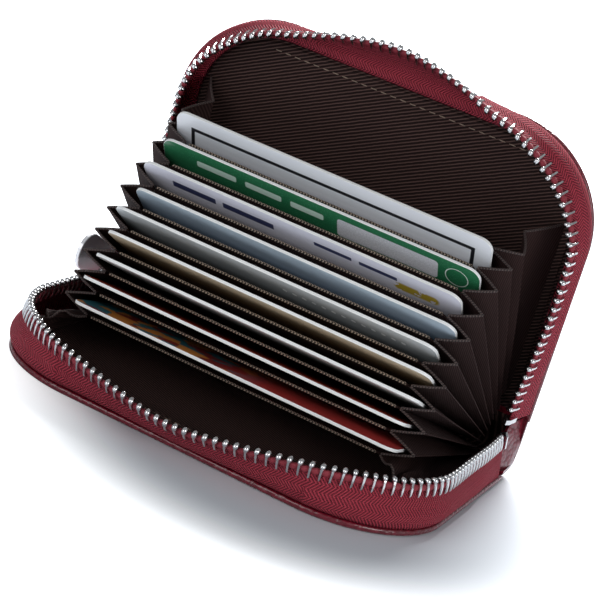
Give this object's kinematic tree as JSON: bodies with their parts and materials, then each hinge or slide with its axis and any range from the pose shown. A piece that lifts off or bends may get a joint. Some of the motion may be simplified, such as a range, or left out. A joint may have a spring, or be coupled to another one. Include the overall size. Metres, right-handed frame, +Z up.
{
  "type": "zip card case",
  "caption": "Small zip-around leather card case, standing open on its front cover, with an accordion of cloth dividers, side folds, plastic cards, metal zip and puller.",
  "frame": {"origin": "centre of the front cover's flat outer face, which lies on the table", "axes": "+X along the spine towards the zip's stops, +Y from the mouth towards the spine, +Z up, away from the front cover"},
  "size_m": [0.1181, 0.0916, 0.0937],
  "materials": {
    "leather": "glossy pebbled dark red leather",
    "zip_tape": "red herringbone tape",
    "nickel": "bright nickel",
    "twill": "very dark brown ribbed twill",
    "card_coral": "printed plastic card",
    "card_red": "printed plastic card",
    "card_ivory": "printed plastic card",
    "card_cream": "printed plastic card",
    "card_grey": "printed plastic card",
    "card_blue": "printed plastic card",
    "card_lavender": "printed plastic card",
    "card_green": "printed plastic card",
    "card_white": "printed plastic card"
  },
  "bodies": {
    "front_cover": {"front_leather": "leather", "front_lining": "twill", "front_panel": "twill", "front_tape": "zip_tape", "front_teeth": "nickel", "front_stop": "nickel", "spine_leather": "leather"},
    "leaf_01": {"divider_01": "twill", "fold_left_01": "twill", "fold_right_01": "twill"},
    "pocket_01": {"fold_left_02": "twill", "fold_right_02": "twill"},
    "leaf_02": {"divider_02": "twill"},
    "pocket_02": {"fold_left_03": "twill", "fold_right_03": "twill"},
    "leaf_03": {"divider_03": "twill"},
    "pocket_03": {"fold_left_04": "twill", "fold_right_04": "twill"},
    "leaf_04": {"divider_04": "twill"},
    "pocket_04": {"fold_left_05": "twill", "fold_right_05": "twill"},
    "leaf_05": {"divider_05": "twill"},
    "pocket_05": {"fold_left_06": "twill", "fold_right_06": "twill"},
    "leaf_06": {"divider_06": "twill"},
    "pocket_06": {"fold_left_07": "twill", "fold_right_07": "twill"},
    "leaf_07": {"divider_07": "twill"},
    "pocket_07": {"fold_left_08": "twill", "fold_right_08": "twill"},
    "leaf_08": {"divider_08": "twill"},
    "pocket_08": {"fold_left_09": "twill", "fold_right_09": "twill"},
    "leaf_09": {"divider_09": "twill"},
    "pocket_09": {"fold_left_10": "twill", "fold_right_10": "twill"},
    "leaf_10": {"divider_10": "twill"},
    "rear_cover": {"rear_leather": "leather", "rear_lining": "twill", "rear_panel": "twill", "rear_tape": "zip_tape", "rear_teeth": "nickel", "rear_stop": "nickel", "fold_left_11": "twill", "fold_right_11": "twill"},
    "card_01_body": {"card_01": "card_coral"},
    "card_02_body": {"card_02": "card_red"},
    "card_03_body": {"card_03": "card_ivory"},
    "card_04_body": {"card_04": "card_cream"},
    "card_05_body": {"card_05": "card_grey"},
    "card_06_body": {"card_06": "card_blue"},
    "card_07_body": {"card_07": "card_lavender"},
    "card_08_body": {"card_08": "card_green"},
    "card_09_body": {"card_09": "card_white"},
    "slider_body": {"slider": "nickel"},
    "puller_body": {"puller": "nickel"}
  },
  "joints": [
    {"name": "leaf_01_fold", "type": "hinge", "parent": "front_cover", "child": "leaf_01", "pos_m": [0, 0.01915, 0.00675], "axis": [-1, 0, 0], "range_deg": [-9.35, 2.67], "deforming": ["fold_left_01", "fold_right_01"]},
    {"name": "pocket_01_fold", "type": "hinge", "parent": "front_cover", "child": "pocket_01", "pos_m": [0, 0.02186, 0.00675], "axis": [-1, 0, 0], "range_deg": [-11.72, 3.33], "deforming": ["fold_left_02", "fold_right_02"]},
    {"name": "leaf_02_fold", "type": "hinge", "parent": "front_cover", "child": "leaf_02", "pos_m": [0, 0.02368, 0.0069], "axis": [-1, 0, 0], "range_deg": [-14.1, 4]},
    {"name": "pocket_02_fold", "type": "hinge", "parent": "front_cover", "child": "pocket_02", "pos_m": [0, 0.02491, 0.00715], "axis": [-1, 0, 0], "range_deg": [-16.35, 4.63], "deforming": ["fold_left_03", "fold_right_03"]},
    {"name": "leaf_03_fold", "type": "hinge", "parent": "front_cover", "child": "leaf_03", "pos_m": [0, 0.02586, 0.00746], "axis": [-1, 0, 0], "range_deg": [-18.6, 5.27]},
    {"name": "pocket_03_fold", "type": "hinge", "parent": "front_cover", "child": "pocket_03", "pos_m": [0, 0.02664, 0.00781], "axis": [-1, 0, 0], "range_deg": [-20.88, 5.91], "deforming": ["fold_left_04", "fold_right_04"]},
    {"name": "leaf_04_fold", "type": "hinge", "parent": "front_cover", "child": "leaf_04", "pos_m": [0, 0.02728, 0.00818], "axis": [-1, 0, 0], "range_deg": [-23.15, 6.54]},
    {"name": "pocket_04_fold", "type": "hinge", "parent": "front_cover", "child": "pocket_04", "pos_m": [0, 0.02789, 0.0086], "axis": [-1, 0, 0], "range_deg": [-25.57, 7.23], "deforming": ["fold_left_05", "fold_right_05"]},
    {"name": "leaf_05_fold", "type": "hinge", "parent": "front_cover", "child": "leaf_05", "pos_m": [0, 0.02841, 0.00903], "axis": [-1, 0, 0], "range_deg": [-28, 7.91]},
    {"name": "pocket_05_fold", "type": "hinge", "parent": "front_cover", "child": "pocket_05", "pos_m": [0, 0.02892, 0.00948], "axis": [-1, 0, 0], "range_deg": [-30.57, 8.63], "deforming": ["fold_left_06", "fold_right_06"]},
    {"name": "leaf_06_fold", "type": "hinge", "parent": "front_cover", "child": "leaf_06", "pos_m": [0, 0.02937, 0.00993], "axis": [-1, 0, 0], "range_deg": [-33.15, 9.36]},
    {"name": "pocket_06_fold", "type": "hinge", "parent": "front_cover", "child": "pocket_06", "pos_m": [0, 0.02984, 0.01043], "axis": [-1, 0, 0], "range_deg": [-35.98, 10.15], "deforming": ["fold_left_07", "fold_right_07"]},
    {"name": "leaf_07_fold", "type": "hinge", "parent": "front_cover", "child": "leaf_07", "pos_m": [0, 0.03027, 0.01091], "axis": [-1, 0, 0], "range_deg": [-38.8, 10.95]},
    {"name": "pocket_07_fold", "type": "hinge", "parent": "front_cover", "child": "pocket_07", "pos_m": [0, 0.03075, 0.01144], "axis": [-1, 0, 0], "range_deg": [-42.05, 11.86], "deforming": ["fold_left_08", "fold_right_08"]},
    {"name": "leaf_08_fold", "type": "hinge", "parent": "front_cover", "child": "leaf_08", "pos_m": [0, 0.03119, 0.01196], "axis": [-1, 0, 0], "range_deg": [-45.3, 12.77]},
    {"name": "pocket_08_fold", "type": "hinge", "parent": "front_cover", "child": "pocket_08", "pos_m": [0, 0.03163, 0.01249], "axis": [-1, 0, 0], "range_deg": [-48.67, 13.72], "deforming": ["fold_left_09", "fold_right_09"]},
    {"name": "leaf_09_fold", "type": "hinge", "parent": "front_cover", "child": "leaf_09", "pos_m": [0, 0.03204, 0.01301], "axis": [-1, 0, 0], "range_deg": [-52.05, 14.67]},
    {"name": "pocket_09_fold", "type": "hinge", "parent": "front_cover", "child": "pocket_09", "pos_m": [0, 0.03241, 0.01351], "axis": [-1, 0, 0], "range_deg": [-55.25, 15.57], "deforming": ["fold_left_10", "fold_right_10"]},
    {"name": "leaf_10_fold", "type": "hinge", "parent": "front_cover", "child": "leaf_10", "pos_m": [0, 0.03277, 0.014], "axis": [-1, 0, 0], "range_deg": [-58.45, 16.47]},
    {"name": "cover_fold", "type": "hinge", "parent": "front_cover", "child": "rear_cover", "pos_m": [0, 0.03547, 0.01663], "axis": [-1, 0, 0], "range_deg": [-81.8, 23], "deforming": ["fold_left_11", "fold_right_11", "spine_leather"]},
    {"name": "card_01_slide", "type": "slide", "parent": "pocket_01", "child": "card_01_body", "axis": [0, -0.9793, 0.2024], "range_m": [-0.004, 0.056]},
    {"name": "card_02_slide", "type": "slide", "parent": "pocket_02", "child": "card_02_body", "axis": [0, -0.9598, 0.2807], "range_m": [-0.0032, 0.056]},
    {"name": "card_03_slide", "type": "slide", "parent": "pocket_03", "child": "card_03_body", "axis": [0, -0.9347, 0.3555], "range_m": [-0.0037, 0.056]},
    {"name": "card_04_slide", "type": "slide", "parent": "pocket_04", "child": "card_04_body", "axis": [0, -0.9024, 0.4309], "range_m": [-0.0032, 0.056]},
    {"name": "card_05_slide", "type": "slide", "parent": "pocket_05", "child": "card_05_body", "axis": [0, -0.8614, 0.5079], "range_m": [-0.0018, 0.056]},
    {"name": "card_06_slide", "type": "slide", "parent": "pocket_06", "child": "card_06_body", "axis": [0, -0.8098, 0.5867], "range_m": [0, 0.056]},
    {"name": "card_07_slide", "type": "slide", "parent": "pocket_07", "child": "card_07_body", "axis": [0, -0.7431, 0.6691], "range_m": [0, 0.056]},
    {"name": "card_08_slide", "type": "slide", "parent": "pocket_08", "child": "card_08_body", "axis": [0, -0.661, 0.7504], "range_m": [0, 0.056]},
    {"name": "card_09_slide", "type": "slide", "parent": "pocket_09", "child": "card_09_body", "axis": [0, -0.5707, 0.8211], "range_m": [-0.0024, 0.056]},
    {"name": "slider_travel", "type": "slide", "parent": "pocket_02", "child": "slider_body", "axis": [0, -0.9598, 0.2807], "range_m": [0, 0.003]},
    {"name": "puller_swing", "type": "hinge", "parent": "slider_body", "child": "puller_body", "pos_m": [-0.05903, 0.03941, 0.00991], "axis": [0, -0.2807, -0.9598], "range_deg": [0, 120]}
  ],
  "couplings": [
    {"joint": "leaf_01_fold", "follows": "cover_fold", "ratio": 0.11369},
    {"joint": "pocket_01_fold", "follows": "cover_fold", "ratio": 0.14273},
    {"joint": "leaf_02_fold", "follows": "cover_fold", "ratio": 0.17176},
    {"joint": "pocket_02_fold", "follows": "cover_fold", "ratio": 0.19927},
    {"joint": "leaf_03_fold", "follows": "cover_fold", "ratio": 0.22677},
    {"joint": "pocket_03_fold", "follows": "cover_fold", "ratio": 0.25458},
    {"joint": "leaf_04_fold", "follows": "cover_fold", "ratio": 0.2824},
    {"joint": "pocket_04_fold", "follows": "cover_fold", "ratio": 0.31204},
    {"joint": "leaf_05_fold", "follows": "cover_fold", "ratio": 0.34169},
    {"joint": "pocket_05_fold", "follows": "cover_fold", "ratio": 0.37317},
    {"joint": "leaf_06_fold", "follows": "cover_fold", "ratio": 0.40464},
    {"joint": "pocket_06_fold", "follows": "cover_fold", "ratio": 0.43918},
    {"joint": "leaf_07_fold", "follows": "cover_fold", "ratio": 0.47372},
    {"joint": "pocket_07_fold", "follows": "cover_fold", "ratio": 0.51345},
    {"joint": "leaf_08_fold", "follows": "cover_fold", "ratio": 0.55318},
    {"joint": "pocket_08_fold", "follows": "cover_fold", "ratio": 0.59444},
    {"joint": "leaf_09_fold", "follows": "cover_fold", "ratio": 0.6357},
    {"joint": "pocket_09_fold", "follows": "cover_fold", "ratio": 0.67482},
    {"joint": "leaf_10_fold", "follows": "cover_fold", "ratio": 0.71394}
  ]
}
